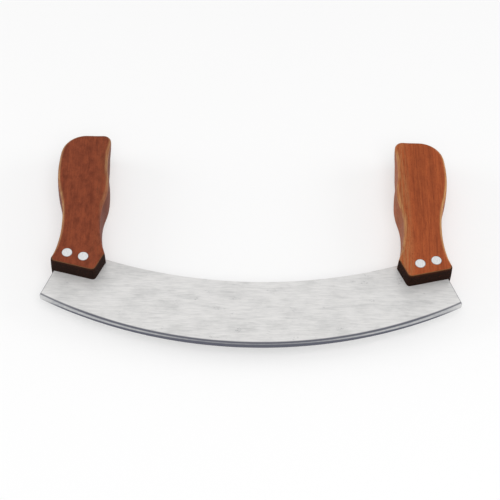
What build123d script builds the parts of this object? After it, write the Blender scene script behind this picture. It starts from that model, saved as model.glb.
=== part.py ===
from build123d import *

import os
from math import cos, hypot, radians, sin, sqrt, tan

# A mezzaluna: one crescent blade riveted into the slotted feet of two upright wooden handles.
# Millimetres. The knife lies on the backs of its handles: +X runs along the blade, +Y away from
# the cutting edge and up the handles, +Z up through the thickness.

# Blade
blade_length = 240.0  # tip to tip
blade_width = 43.6  # cutting edge to back, at the middle
blade_thickness = 1.5
edge_radius = 253.5  # cutting edge arc
back_radius = 265.5  # back arc
bevel_width = 2.6  # ground strip on each face, along the cutting edge
edge_land = 0.3  # steel left at the very edge
end_slant = 21.5  # degrees between a blade end and the handles' axis
tip_rounding = 2.8

# Tangs, inside the handles
tang_width = 18.0
tang_rise = 30.0  # above the middle of a handle's foot
tang_top_rounding = 2.0
tang_root_rounding = 2.5

# Handles, seen from the front
handle_inset = 18.0  # blade tip to the middle of the foot, along X
foot_overlap = 18.2  # middle of the foot to the back arc above it
foot_width = 26.7
foot_slope = 14.4  # degrees, rising towards the blade's tip
cut_length = 12.2  # slanting cut at the inner end of the foot
cut_slant = 24.0  # degrees between that cut and the handles' axis
handle_height = 96.8  # from the middle of the foot

# Handles, where each side swells or narrows: how far out from the middle of the foot it lies
# there, and how far that place is above the middle of the foot (rise) or below the top (drop)
outer_waist = 8.2
outer_waist_rise = 30.0
outer_bulge = 13.6
outer_bulge_drop = 25.8
outer_shoulder = 10.4
inner_waist = 13.8
inner_waist_rise = 35.8
inner_bulge = 16.6
inner_bulge_drop = 38.3
inner_throat = 15.4
inner_throat_drop = 20.8
inner_shoulder = 16.4
top_crown = 0.8

# Handles, thickness and rounding
handle_thickness = 23.0
outer_shoulder_rounding = 13.0
inner_shoulder_rounding = 4.6
outer_foot_rounding = 3.0
inner_foot_rounding = 2.4
side_arris_rounding = 3.6  # along the sides and the top
foot_arris_rounding = 0.8  # along the foot and the slanting cut

# Slot in each handle's foot, which follows the outline of the tang
slot_clearance = 0.15  # on each face of the tang
slot_edge_clearance = 0.3  # around the tang's outline

# Rivets
rivet_pitch = 9.6
rivet_setback = 7.1  # square to the foot
head_diameter = 6.0
head_thickness = 1.4
head_clearance = 0.04  # around the head, in the wood
tube_diameter = 4.0
tube_end_clearance = 1.2  # tube's end to the other head
stem_diameter = 2.6  # also the bore of the tube, which grips the stem
stem_end_clearance = 5.0  # stem's end to the bottom of the bore
shank_clearance = 0.1  # around the tube, in the wood and the steel
socket_floor = 0.6  # metal left under the bore, in the socket's head
stem_lead = 0.3  # chamfer on the stem's end

# How far blanks and cuts run past the surfaces that they end at
overrun = 12.0

# Places that follow from the sizes above
blade_end_x = blade_length / 2
handle_x = blade_end_x - handle_inset
edge_to_tip = edge_radius - sqrt(edge_radius**2 - blade_end_x**2)
back_to_handle = back_radius - sqrt(back_radius**2 - handle_x**2)
foot_rise = blade_width + back_to_handle - foot_overlap
edge_y = -(foot_rise + handle_height) / 2
back_y = edge_y + blade_width
foot_y = edge_y + foot_rise
middle_z = handle_thickness / 2


def spot(out, up):
    """A point of the right-hand handle, outwards and up from the middle of its foot."""
    return (handle_x + out, foot_y + up)


def foot_spot(along, inwards):
    """A point of the right-hand handle, along its sloping foot and square to it."""
    slope = radians(foot_slope)
    return spot(along * cos(slope) - inwards * sin(slope), along * sin(slope) + inwards * cos(slope))


def halfway(first, second):
    """The point in the middle of two points."""
    return ((first[0] + second[0]) / 2, (first[1] + second[1]) / 2)


def nearest_corner(sketch, place):
    """The corner of a sketch that lies nearest to a place."""
    return sketch.vertices().sort_by(lambda corner: hypot(corner.X - place[0], corner.Y - place[1]))[0]


rivet_spots = {
    "inner": foot_spot(-rivet_pitch / 2, rivet_setback),
    "outer": foot_spot(rivet_pitch / 2, rivet_setback),
}

# Blade: a crescent with a tang at each end, ground on both faces along its cutting edge
outer_narrow = spot(outer_waist, outer_waist_rise)
inner_narrow = spot(-inner_waist, inner_waist_rise)
tang_x = halfway(outer_narrow, inner_narrow)[0]
tip = (blade_end_x, edge_y + edge_to_tip)
tang_outer_x = tang_x + tang_width / 2
tang_inner_x = tang_x - tang_width / 2
tang_top_y = foot_y + tang_rise
tang_hip = (tang_outer_x, tip[1] + (blade_end_x - tang_outer_x) / tan(radians(end_slant)))
tang_root = (tang_inner_x, back_y + back_radius - sqrt(back_radius**2 - tang_inner_x**2))
tang_shoulders = ((tang_outer_x, tang_top_y), (tang_inner_x, tang_top_y))
edge_centre_y = edge_y + edge_radius
bevel_fall = (blade_thickness - edge_land) / 2 / bevel_width

with BuildPart() as blade:
    with BuildSketch(Plane.XY.offset(middle_z - blade_thickness / 2)) as outline:
        with BuildLine():
            TangentArc((0, edge_y), tip, tangent=(1, 0))
            Polyline(tip, tang_hip, *tang_shoulders, tang_root)
            TangentArc((0, back_y), tang_root, tangent=(1, 0))
            mirror(about=Plane.YZ)
        make_face()
        for (x, y), rounding in (
            (tip, tip_rounding),
            (tang_root, tang_root_rounding),
            (tang_shoulders[0], tang_top_rounding),
            (tang_shoulders[1], tang_top_rounding),
        ):
            for side in (-1, 1):
                fillet(nearest_corner(outline, (side * x, y)), radius=rounding)
    extrude(amount=blade_thickness)
    across_edge = Plane(origin=(0, edge_centre_y, middle_z), x_dir=(0, -1, 0), z_dir=(-1, 0, 0))
    with BuildSketch(across_edge):
        with BuildLine():
            Polyline(
                (edge_radius - bevel_width, blade_thickness / 2),
                (edge_radius + edge_land, edge_land / 2 - bevel_fall * edge_land),
                (edge_radius + edge_land, blade_thickness),
                (edge_radius - bevel_width, blade_thickness),
                close=True,
            )
        make_face()
        mirror(about=Plane.XZ)
    revolve(axis=Axis((0, edge_centre_y, 0), (0, 0, 1)), mode=Mode.SUBTRACT)
    for side in (-1, 1):
        with Locations([(side * x, y, middle_z) for x, y in rivet_spots.values()]):
            Hole(radius=tube_diameter / 2 + shank_clearance)
blade.part.label = "blade"

# Right-hand handle: a shaped bar with rounded sides, whose foot is then cut to the blade's slope
foot_inner = foot_spot(-foot_width / 2, 0)
foot_outer = foot_spot(foot_width / 2, 0)
cut_lean = radians(cut_slant)
cut_top = (foot_inner[0] - cut_length * sin(cut_lean), foot_inner[1] + cut_length * cos(cut_lean))
outer_wide = spot(outer_bulge, handle_height - outer_bulge_drop)
outer_top = spot(outer_shoulder, handle_height - top_crown)
inner_wide = spot(-inner_bulge, handle_height - inner_bulge_drop)
inner_slim = spot(-inner_throat, handle_height - inner_throat_drop)
inner_top = spot(-inner_shoulder, handle_height - top_crown)
top_middle = (halfway(outer_top, inner_top)[0], foot_y + handle_height)


def swing(low, high):
    """Two arcs that leave one point straight up, cross over halfway and reach the next straight up."""
    first = TangentArc(low, halfway(low, high), tangent=(0, 1))
    TangentArc(halfway(low, high), high, tangent=first % 1)


def made_by_foot_cut(edge):
    """Whether an edge lies on the line of the foot, of the slanting cut or of the corner between them."""
    middle = edge.center()
    slope = radians(foot_slope)
    to_foot = (middle.Y - foot_inner[1]) * cos(slope) - (middle.X - foot_inner[0]) * sin(slope)
    to_cut = (middle.Y - foot_inner[1]) * sin(cut_lean) + (middle.X - foot_inner[0]) * cos(cut_lean)
    return min(to_foot, to_cut) < inner_foot_rounding / 2


with BuildPart() as right_handle:
    with BuildSketch() as bar:
        with BuildLine():
            outer_flare = TangentArc(outer_narrow, foot_outer, tangent=(0, -1))
            outer_end = Line(foot_outer, outer_flare @ 1 + (outer_flare % 1) * overrun)
            swing(outer_narrow, outer_wide)
            TangentArc(outer_wide, outer_top, tangent=(0, 1))
            ThreePointArc(outer_top, top_middle, inner_top)
            swing(inner_slim, inner_top)
            swing(inner_wide, inner_slim)
            swing(inner_narrow, inner_wide)
            inner_flare = TangentArc(inner_narrow, cut_top, tangent=(0, -1))
            inner_end = Line(cut_top, inner_flare @ 1 + (inner_flare % 1) * overrun)
            Line(outer_end @ 1, inner_end @ 1)
        make_face()
        fillet(nearest_corner(bar, outer_top), radius=outer_shoulder_rounding)
        fillet(nearest_corner(bar, inner_top), radius=inner_shoulder_rounding)
    extrude(amount=handle_thickness)
    rim = right_handle.faces().filter_by(Axis.Z).edges()
    end_y = max((outer_end @ 1).Y, (inner_end @ 1).Y)
    fillet(rim.filter_by(lambda edge: edge.center().Y > end_y), radius=side_arris_rounding)

    # Foot and slanting cut
    far_right = foot_outer[0] + overrun
    far_top = top_middle[1] + overrun
    far_left = foot_inner[0] - (far_top - foot_inner[1]) * tan(cut_lean)
    with BuildSketch() as kept:
        with BuildLine():
            Polyline(
                foot_inner,
                foot_outer,
                outer_narrow,
                (far_right, outer_narrow[1]),
                (far_right, far_top),
                (far_left, far_top),
                close=True,
            )
        make_face()
        fillet(nearest_corner(kept, foot_inner), radius=inner_foot_rounding)
        fillet(nearest_corner(kept, foot_outer), radius=outer_foot_rounding)
    extrude(amount=handle_thickness, mode=Mode.INTERSECT)
    flat_edges = right_handle.faces().filter_by(Axis.Z).edges()
    fillet(flat_edges.filter_by(made_by_foot_cut), radius=foot_arris_rounding)

    # Slot for the blade
    with BuildSketch(Plane.XY.offset(middle_z)):
        add(outline.sketch_local)
        offset(amount=slot_edge_clearance)
    extrude(amount=blade_thickness / 2 + slot_clearance, both=True, mode=Mode.SUBTRACT)

    # Rivet holes, with a seat for a head at each end
    with Locations([(x, y, handle_thickness) for x, y in rivet_spots.values()]):
        CounterBoreHole(
            radius=tube_diameter / 2 + shank_clearance,
            counter_bore_radius=head_diameter / 2 + head_clearance,
            counter_bore_depth=head_thickness,
        )
    with BuildSketch():
        with Locations(list(rivet_spots.values())):
            Circle(head_diameter / 2 + head_clearance)
    extrude(amount=head_thickness, mode=Mode.SUBTRACT)
right_handle.part.label = "right_handle"

with BuildPart() as left_handle:
    mirror(right_handle.part, about=Plane.YZ)
left_handle.part.label = "left_handle"

# Rivets: a stud pressed in from the front, into the tube of a socket put in from the back
tube_length = handle_thickness - 2 * head_thickness - tube_end_clearance
bore_depth = tube_length + head_thickness - socket_floor
stem_length = handle_thickness - head_thickness - socket_floor - stem_end_clearance
rivet_pieces = []
for side_name, side in (("left", -1), ("right", 1)):
    for place_name, (x, y) in rivet_spots.items():
        front = Plane(origin=(side * x, y, handle_thickness), z_dir=(0, 0, -1))
        with BuildPart(front) as stud:
            with BuildSketch(front):
                Circle(head_diameter / 2)
            extrude(amount=head_thickness)
            with BuildSketch(front.offset(head_thickness)):
                Circle(stem_diameter / 2)
            extrude(amount=stem_length)
            chamfer(stud.faces().sort_by(Axis.Z)[0].edges(), length=stem_lead)
        stud.part.label = f"{side_name}_{place_name}_rivet_stud"
        rivet_pieces.append(stud.part)

        back = Plane(origin=(side * x, y, 0))
        with BuildPart(back) as socket:
            with BuildSketch(back):
                Circle(head_diameter / 2)
            extrude(amount=head_thickness)
            with BuildSketch(back.offset(head_thickness)):
                Circle(tube_diameter / 2)
            extrude(amount=tube_length)
            with BuildSketch(back.offset(head_thickness + tube_length)):
                Circle(stem_diameter / 2)
            extrude(amount=-bore_depth, mode=Mode.SUBTRACT)
        socket.part.label = f"{side_name}_{place_name}_rivet_socket"
        rivet_pieces.append(socket.part)

os.makedirs("parts", exist_ok=True)
for piece in (blade.part, left_handle.part, right_handle.part, *rivet_pieces):
    export_step(piece, f"parts/{piece.label}.step")
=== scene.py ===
import logging
import math
from dataclasses import dataclass
from enum import Enum
from typing import Iterable, Sequence, Union

import bpy
import numpy as np
from mathutils import Euler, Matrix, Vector


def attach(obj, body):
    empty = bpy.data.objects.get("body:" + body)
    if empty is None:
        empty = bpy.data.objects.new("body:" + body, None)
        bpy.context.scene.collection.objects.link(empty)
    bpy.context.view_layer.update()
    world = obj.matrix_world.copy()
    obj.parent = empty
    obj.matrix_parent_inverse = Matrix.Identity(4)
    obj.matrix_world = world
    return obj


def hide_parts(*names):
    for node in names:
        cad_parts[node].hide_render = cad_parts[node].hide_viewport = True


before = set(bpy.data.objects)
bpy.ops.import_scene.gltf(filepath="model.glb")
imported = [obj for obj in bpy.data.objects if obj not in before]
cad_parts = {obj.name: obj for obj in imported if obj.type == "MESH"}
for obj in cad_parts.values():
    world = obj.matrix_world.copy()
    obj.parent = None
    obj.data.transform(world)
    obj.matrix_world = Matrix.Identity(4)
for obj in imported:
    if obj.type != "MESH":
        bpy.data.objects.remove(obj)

# A mezzaluna: a crescent blade riveted into two upright wooden handles.
# Sizes are in millimetres, as in the CAD source, and MM turns them into Blender's metres.
# The knife lies on its back: +X along the blade, +Y up the handles, +Z towards the viewer.
MM = 0.001
# Points closer than these, in metres, are one point or lie on the same corner
MERGE_DISTANCE = 1e-6
CORNER_DISTANCE = 1e-5
# Below these, two runs count as parallel and a turn as straight
PARALLEL = 1e-12
STRAIGHT = 1e-9
LOG = logging.getLogger("mezzaluna")

Point = tuple[float, float]
Span = tuple[float, float]
Colour = tuple[float, float, float]


# Node trees


class Value:
    """A socket of a node tree, whose Python operators add the Math nodes that they stand for."""

    def __init__(self, tree: "Tree", socket: bpy.types.NodeSocket) -> None:
        """Wraps one output socket.

        Args:
            tree: The tree that the socket belongs to.
            socket: The output socket.
        """
        self.tree = tree
        self.socket = socket

    def __add__(self, other: "Number") -> "Value":
        """Sum."""
        return self.tree.math("ADD", self, other)

    def __radd__(self, other: "Number") -> "Value":
        """Sum, with this value second."""
        return self.tree.math("ADD", other, self)

    def __sub__(self, other: "Number") -> "Value":
        """Difference."""
        return self.tree.math("SUBTRACT", self, other)

    def __rsub__(self, other: "Number") -> "Value":
        """Difference, with this value second."""
        return self.tree.math("SUBTRACT", other, self)

    def __mul__(self, other: "Number") -> "Value":
        """Product."""
        return self.tree.math("MULTIPLY", self, other)

    def __rmul__(self, other: "Number") -> "Value":
        """Product, with this value second."""
        return self.tree.math("MULTIPLY", other, self)

    def __truediv__(self, other: "Number") -> "Value":
        """Quotient."""
        return self.tree.math("DIVIDE", self, other)

    def __rtruediv__(self, other: "Number") -> "Value":
        """Quotient, with this value second."""
        return self.tree.math("DIVIDE", other, self)

    def __neg__(self) -> "Value":
        """Negative."""
        return self.tree.math("MULTIPLY", self, -1.0)

    def __abs__(self) -> "Value":
        """Size without its sign."""
        return self.tree.math("ABSOLUTE", self)

    def __gt__(self, other: "Number") -> "Value":
        """1 where this value is greater, and 0 elsewhere."""
        return self.tree.math("GREATER_THAN", self, other)

    def __lt__(self, other: "Number") -> "Value":
        """1 where this value is less, and 0 elsewhere."""
        return self.tree.math("LESS_THAN", self, other)

    def root(self) -> "Value":
        """Square root."""
        return self.tree.math("SQRT", self)

    def most(self, other: "Number") -> "Value":
        """The larger of two values."""
        return self.tree.math("MAXIMUM", self, other)

    def rise(self, low: float, high: float) -> "Value":
        """A smooth step from 0 at low to 1 at high, or down from 1 to 0 where low is the larger.

        Args:
            low: The value at which the step is 0.
            high: The value at which the step is 1.

        Returns:
            The step.
        """
        falls = low > high
        step = self.tree.add(
            "ShaderNodeMapRange",
            {"interpolation_type": "SMOOTHSTEP"},
            {"Value": self, "From Min": min(low, high), "From Max": max(low, high)},
        )
        return 1.0 - step if falls else step

    def near(self, place: "Number", reach: float) -> "Value":
        """A smooth bump that is 1 at a place and 0 from a reach away.

        Args:
            place: The value at which the bump is 1.
            reach: How far from it the bump ends.

        Returns:
            The bump.
        """
        return abs(self - place).rise(reach, 0.0)


Number = Union[Value, float]
Setting = Union[Value, float, int, bool, str, Sequence, bpy.types.ID]


def find_socket(sockets: Iterable[bpy.types.NodeSocket], key: Union[str, int]) -> bpy.types.NodeSocket:
    """Finds a socket of a node.

    Args:
        sockets: The node's inputs or outputs.
        key: The socket's place in the list, its identifier or its name.

    Returns:
        The socket.
    """
    found = list(sockets)
    if isinstance(key, int):
        return found[key]
    for socket in found:
        if socket.identifier == key:
            return socket
    return next(socket for socket in found if socket.name == key and socket.enabled)


class Tree:
    """A node tree that is filled from Python, for a material or for geometry."""

    def __init__(self, node_tree: bpy.types.NodeTree) -> None:
        """Wraps a node tree.

        Args:
            node_tree: The tree to fill.
        """
        self.node_tree = node_tree

    def node(
        self, kind: str, settings: Union[dict, None] = None, inputs: Union[dict, None] = None
    ) -> bpy.types.Node:
        """Adds a node.

        Args:
            kind: The node's type.
            settings: Its own properties, set before its sockets.
            inputs: The values or links of its sockets, by name, identifier or place.

        Returns:
            The node.
        """
        node = self.node_tree.nodes.new(kind)
        for name, setting in (settings or {}).items():
            setattr(node, name, setting)
        for key, setting in (inputs or {}).items():
            self.plug(find_socket(node.inputs, key), setting)
        return node

    def add(
        self,
        kind: str,
        settings: Union[dict, None] = None,
        inputs: Union[dict, None] = None,
        output: Union[str, int] = 0,
    ) -> Value:
        """Adds a node and takes one of its outputs.

        Args:
            kind: The node's type.
            settings: Its own properties, set before its sockets.
            inputs: The values or links of its sockets, by name, identifier or place.
            output: The output that is wanted.

        Returns:
            That output.
        """
        return Value(self, find_socket(self.node(kind, settings, inputs).outputs, output))

    def plug(self, socket: bpy.types.NodeSocket, setting: Union[Setting, list]) -> None:
        """Gives an input socket its value or its links.

        Args:
            socket: The input.
            setting: A constant, a value of this tree, or a list of values for a socket that takes several.
        """
        if isinstance(setting, Value):
            self.node_tree.links.new(setting.socket, socket)
        elif isinstance(setting, list):
            for part in setting:
                self.plug(socket, part)
        else:
            socket.default_value = setting

    def math(self, operation: str, *values: Number) -> Value:
        """Adds a Math node.

        Args:
            operation: Its operation.
            *values: One to three numbers or values.

        Returns:
            Its result.
        """
        return self.add("ShaderNodeMath", {"operation": operation}, dict(enumerate(values)))

    def vector(self, x: Number, y: Number, z: Number = 0.0) -> Value:
        """A vector of three values."""
        return self.add("ShaderNodeCombineXYZ", inputs={"X": x, "Y": y, "Z": z})

    def parts(self, vector: Value) -> tuple[Value, Value, Value]:
        """The three values of a vector.

        Args:
            vector: The vector.

        Returns:
            Its X, Y and Z.
        """
        split = self.node("ShaderNodeSeparateXYZ", inputs={"Vector": vector})
        return tuple(Value(self, socket) for socket in split.outputs)


# Materials


@dataclass(frozen=True)
class Grain:
    """A layer of soft noise, drawn out along the axes and turned about Z by some degrees."""

    per_mm: tuple[float, float, float]
    turn: float = 0.0
    detail: float = 3.0
    roughness: float = 0.6


class Shading(Tree):
    """The tree of one material, whose patterns read the object's own coordinates in millimetres."""

    def __init__(self, name: str) -> None:
        """Makes a material with nothing but its output.

        Args:
            name: The material's name.
        """
        self.material = bpy.data.materials.new(name)
        self.material.use_nodes = True
        self.material.node_tree.nodes.clear()
        super().__init__(self.material.node_tree)

    def place(self, scale: Sequence = (1, 1, 1), turn: float = 0.0, shift: Sequence = (0, 0, 0)) -> Value:
        """Object coordinates in millimetres.

        Args:
            scale: How much each axis is stretched, as patterns per millimetre.
            turn: The turn about Z, in degrees.
            shift: How far the pattern is moved, after it is scaled.

        Returns:
            The coordinates.
        """
        return self.add(
            "ShaderNodeMapping",
            {"vector_type": "POINT"},
            {
                "Vector": self.add("ShaderNodeTexCoord", output="Object"),
                "Scale": tuple(part / MM for part in scale),
                "Rotation": (0.0, 0.0, math.radians(turn)),
                "Location": tuple(shift),
            },
        )

    def noise(self, grain: Grain, shift: Sequence = (0, 0, 0)) -> Value:
        """Soft noise from 0 to 1.

        Args:
            grain: The noise's shape.
            shift: How far it is moved.

        Returns:
            The noise.
        """
        return self.add(
            "ShaderNodeTexNoise",
            {"noise_dimensions": "3D"},
            {
                "Vector": self.place(grain.per_mm, grain.turn, shift),
                "Scale": 1.0,
                "Detail": grain.detail,
                "Roughness": grain.roughness,
            },
        )

    def attribute(self, name: str) -> Value:
        """A number that the mesh carries."""
        return self.add("ShaderNodeAttribute", {"attribute_name": name}, output="Fac")

    def blend(self, factor: Number, first: Union[Value, Colour], second: Union[Value, Colour]) -> Value:
        """Mixes two colours.

        Args:
            factor: 0 for the first colour and 1 for the second.
            first: The first colour.
            second: The second colour.

        Returns:
            The mixed colour.
        """
        colours = [part if isinstance(part, Value) else (*part, 1.0) for part in (first, second)]
        return self.add(
            "ShaderNodeMix",
            {"data_type": "RGBA", "blend_type": "MIX", "clamp_factor": True},
            {"Factor_Float": factor, "A_Color": colours[0], "B_Color": colours[1]},
            "Result_Color",
        )

    def bump(self, height: Value, depth: float) -> Value:
        """A normal that a height tilts.

        Args:
            height: The height, from 0 to 1.
            depth: What a height of 1 stands for, in millimetres.

        Returns:
            The normal.
        """
        settings = {"Height": height, "Distance": depth * MM, "Strength": 1.0}
        return self.add("ShaderNodeBump", inputs=settings)

    def surface(self, **inputs: Setting) -> bpy.types.Material:
        """Ends the material in a Principled shader.

        Args:
            **inputs: The shader's sockets, with underscores for spaces.

        Returns:
            The material.
        """
        named = {name.replace("_", " "): setting for name, setting in inputs.items()}
        shader = self.add("ShaderNodeBsdfPrincipled", inputs=named)
        self.node("ShaderNodeOutputMaterial", inputs={"Surface": shader})
        return self.material


@dataclass(frozen=True)
class Timber:
    """The noises that colour one piece of wood, each from 0 to 1."""

    streaks: Value
    fibres: Value
    pores: Value
    figure: Value
    lines: Value


@dataclass(frozen=True)
class Wood:
    """Lacquered hardwood with its grain along the handle, with painted shade on its sides and end grain and
    painted highlights.

    A span says where something begins and where it is full, in millimetres, and a strength how far the
    colour goes over into another.
    """

    name: str
    face: Colour
    streak: Colour
    warm: Colour
    # The colour of the sapwood, and also of the painted highlights on the roundings and along the foot
    pale: Colour
    # The end grain colour: dark end grain, made darker still as painted shade
    end: Colour
    streak_strength: float
    figure_strength: float
    line_strength: float
    sap_strength: float
    # How far the side walls are darkened as painted shade
    side_shade_strength: float
    # Strength and start, up the handle, of the painted highlight on the inner roundings
    inner_highlight_strength: float
    inner_highlight_start: float
    seed: float
    fibre_strength: float = 0.4
    fibre_warmth: float = 0.2
    pore_strength: float = 0.5
    # Over how long the painted highlight on the inner roundings comes in
    inner_highlight_length: float = 25.0
    sap: Span = (8.0, 12.5)
    middle_width: float = 4.0
    foot_mark: float = 0.8
    # Painted light: where the end grain lightens towards the front face
    foot_painted_light: Span = (20.0, 23.0)
    # A painted highlight line along the front edge of the foot and the cut
    foot_highlight: float = 22.65
    foot_highlight_reach: float = 0.3
    foot_highlight_strength: float = 0.3
    foot_top: Span = (22.97, 22.7)
    gloss: float = 0.42
    relief: float = 0.03
    lacquer_ior: float = 1.16

    def make(self, middle_x: float, middle_z: float, arris: float) -> bpy.types.Material:
        """Builds the material.

        Args:
            middle_x: How far the middle of the handle is from the middle of the blade.
            middle_z: Z of the handle's middle plane.
            arris: The radius of the handle's long roundings.

        Returns:
            The material, which reads the mesh's end attribute.
        """
        tree = Shading(self.name)
        timber = self.timber(tree)
        x, y, z = tree.parts(tree.place())
        out = abs(x)
        outer = out.rise(middle_x - self.middle_width / 2, middle_x + self.middle_width / 2)
        turned = (abs(z - middle_z) - (middle_z - arris)) / arris
        sap_start, sap_full = self.sap
        sap = out.rise(middle_x - sap_start, middle_x - sap_full) * timber.fibres.rise(0.40, 0.60)
        # Painted highlights on the roundings: the inner ones, and the outer one on the front only
        inner_highlight = self.inner_highlight(timber, turned, y) * (1.0 - outer)
        outer_highlight = self.outer_highlight(timber, turned) * outer * (z > middle_z)

        colour = self.heartwood(tree, timber)
        colour = tree.blend(sap * self.sap_strength, colour, self.pale)
        colour = tree.blend(timber.lines * self.line_strength, colour, self.streak)
        colour = tree.blend(timber.pores * self.pore_strength, colour, self.streak)
        # Painted shade: the side walls below the roundings are darkened towards the streak colour
        colour = tree.blend(turned.rise(0.2, -0.4) * self.side_shade_strength, colour, self.streak)
        # The painted highlights go over into the pale colour
        colour = tree.blend(inner_highlight.most(outer_highlight), colour, self.pale)

        end = tree.attribute("end")
        is_foot = end > self.foot_mark
        shows = end.most(is_foot) * (1.0 - turned.rise(0.0, 0.7) * (1.0 - is_foot)) * z.rise(*self.foot_top)
        return tree.surface(
            Base_Color=tree.blend(shows, colour, self.end_grain(tree, timber, z)),
            Roughness=self.gloss + timber.fibres * 0.12 + end * 0.3,
            Normal=tree.bump(timber.fibres * 0.6 - timber.pores * 0.8, self.relief),
            Specular_IOR_Level=0.5,
            IOR=self.lacquer_ior,
        )

    def timber(self, tree: Shading) -> Timber:
        """Makes the noises, moved by the seed so that no two pieces of wood are alike.

        Args:
            tree: The material's tree.

        Returns:
            The noises.
        """
        drift = (self.seed, self.seed * 0.7, self.seed * 1.3)
        return Timber(
            streaks=tree.noise(Grain((0.42, 0.012, 0.3), 2.0), drift),
            fibres=tree.noise(Grain((1.5, 0.06, 1.1), 1.0, 4.0, 0.65), drift),
            pores=tree.noise(Grain((2.2, 0.55, 2.2), roughness=0.7), drift).rise(0.54, 0.68),
            figure=tree.noise(Grain((0.30, 0.16, 0.3), 8.0, 4.0, 0.65), drift),
            lines=tree.noise(Grain((0.5, 0.011, 0.5), 1.0, 2.0, 0.5), drift).near(0.5, 0.02),
        )

    def heartwood(self, tree: Shading, timber: Timber) -> Value:
        """The colour of the faces, with darker streaks and figure and warmer wood between them.

        Args:
            tree: The wood's shader.
            timber: The wood's noises.

        Returns:
            The colour.
        """
        fibres, figure = timber.fibres, timber.figure
        dark = self.figure_strength
        colour = tree.blend(timber.streaks.rise(0.42, 0.7) * self.streak_strength, self.face, self.streak)
        colour = tree.blend(figure.rise(0.42, 0.75) * dark, colour, self.streak)
        colour = tree.blend(figure.rise(0.52, 0.3) * dark * 0.5, colour, self.warm)
        colour = tree.blend(fibres.rise(0.5, 0.72) * self.fibre_strength, colour, self.streak)
        return tree.blend(fibres.rise(0.5, 0.3) * self.fibre_warmth, colour, self.warm)

    def inner_highlight(self, timber: Timber, turned: Value, y: Value) -> Value:
        """The painted highlight on the roundings of the inner side, which grows up the handle.

        Args:
            timber: The wood's noises.
            turned: 0 where a rounding begins at the side, and 1 where it meets the face.
            y: Y, in millimetres.

        Returns:
            The paleness, from 0 to 1.
        """
        rounding = turned.rise(-0.3, 0.1) * turned.rise(1.0, 0.75)
        fibrous = 0.35 + timber.fibres.rise(0.38, 0.62) * 0.7
        above = y.rise(self.inner_highlight_start, self.inner_highlight_start + self.inner_highlight_length)
        return rounding * fibrous * above * self.inner_highlight_strength

    def outer_highlight(self, timber: Timber, turned: Value) -> Value:
        """The painted highlight on the rounding of the outer side, with a border that wanders with the
        grain.

        Args:
            timber: The wood's noises.
            turned: 0 where the rounding begins at the side, and 1 where it meets the face.

        Returns:
            The paleness, from 0 to 1.
        """
        wandering = turned + (timber.streaks - 0.5) * 1.3 + (timber.fibres - 0.5) * 1.1
        rounding = turned.rise(0.98, 0.7) * turned.rise(-0.25, 0.15)
        return wandering.rise(-0.1, 0.75) * rounding * (0.35 + timber.fibres.rise(0.38, 0.62) * 0.55)

    def end_grain(self, tree: Shading, timber: Timber, z: Value) -> Value:
        """The colour of the foot and the cut: dark end grain with painted shade, lighter towards the front
        as painted light, and a thin painted highlight along the front.

        Args:
            tree: The material's tree.
            timber: The wood's noises.
            z: Z, in millimetres.

        Returns:
            The colour.
        """
        # Painted highlight: a thin pale line along the front edge of the foot
        line = z.near(self.foot_highlight, self.foot_highlight_reach) * self.foot_highlight_strength
        colour = tree.blend(timber.pores * self.pore_strength, self.end, self.streak)
        # Painted light: the end grain is lighter towards the front face
        colour = tree.blend(z.rise(*self.foot_painted_light) * (0.05 + timber.figure * 0.2), colour, self.face)
        return tree.blend(line, colour, self.pale)


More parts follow.
